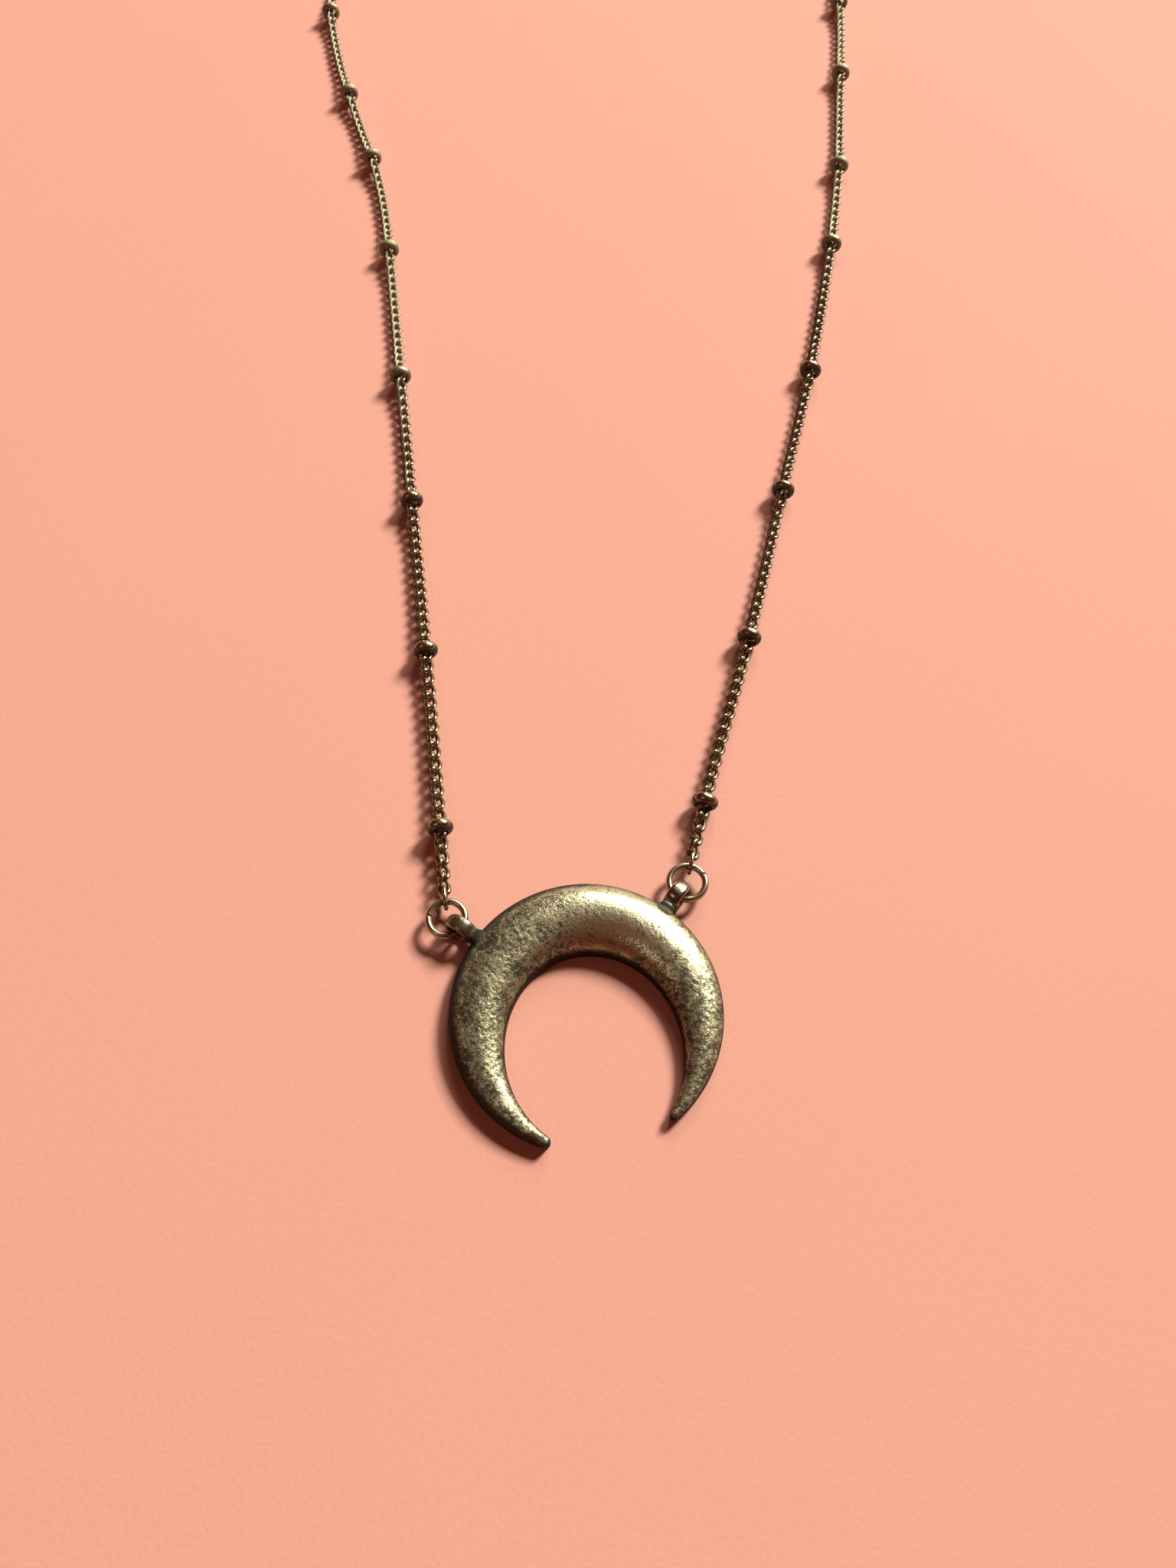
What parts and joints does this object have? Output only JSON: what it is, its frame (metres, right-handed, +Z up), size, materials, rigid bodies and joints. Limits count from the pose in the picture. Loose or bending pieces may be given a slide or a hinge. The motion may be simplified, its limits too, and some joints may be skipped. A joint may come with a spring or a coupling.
{
  "type": "crescent moon pendant necklace",
  "caption": "Necklace lying flat: a domed crescent with its points down hangs by two cast eyes between the ends of a fine curb chain with small beads and a barrel clasp.",
  "frame": {"origin": "middle of the crescent's flat back at its widest place, on the surface that the necklace lies on", "axes": "+Z up from the surface, +Y from the crescent to the clasp along the surface, +X to the right as seen from above with the crescent at the bottom"},
  "size_m": [0.0861, 0.222, 0.0032],
  "materials": {
    "crescent": "antiqued and tumbled, mottled satin with bright high spots",
    "ring": "antiqued, smooth and fairly bright",
    "chain": "dark antiqued wire with bright edges",
    "bead": "dark antiqued, polished high spots",
    "clasp": "antiqued, satin"
  },
  "bodies": {
    "root": {"crescent": "crescent", "jump_ring_left": "ring", "jump_ring_right": "ring", "chain_left": "chain", "chain_right": "chain", "station_bead_left_01": "bead", "station_bead_left_02": "bead", "station_bead_left_03": "bead", "station_bead_left_04": "bead", "station_bead_left_05": "bead", "station_bead_left_06": "bead", "station_bead_left_07": "bead", "station_bead_left_08": "bead", "station_bead_left_09": "bead", "station_bead_left_10": "bead", "station_bead_right_01": "bead", "station_bead_right_02": "bead", "station_bead_right_03": "bead", "station_bead_right_04": "bead", "station_bead_right_05": "bead", "station_bead_right_06": "bead", "station_bead_right_07": "bead", "station_bead_right_08": "bead", "station_bead_right_09": "bead", "station_bead_right_10": "bead", "clasp": "clasp", "clasp_ring_left": "ring", "clasp_ring_right": "ring"}
  },
  "joints": []
}
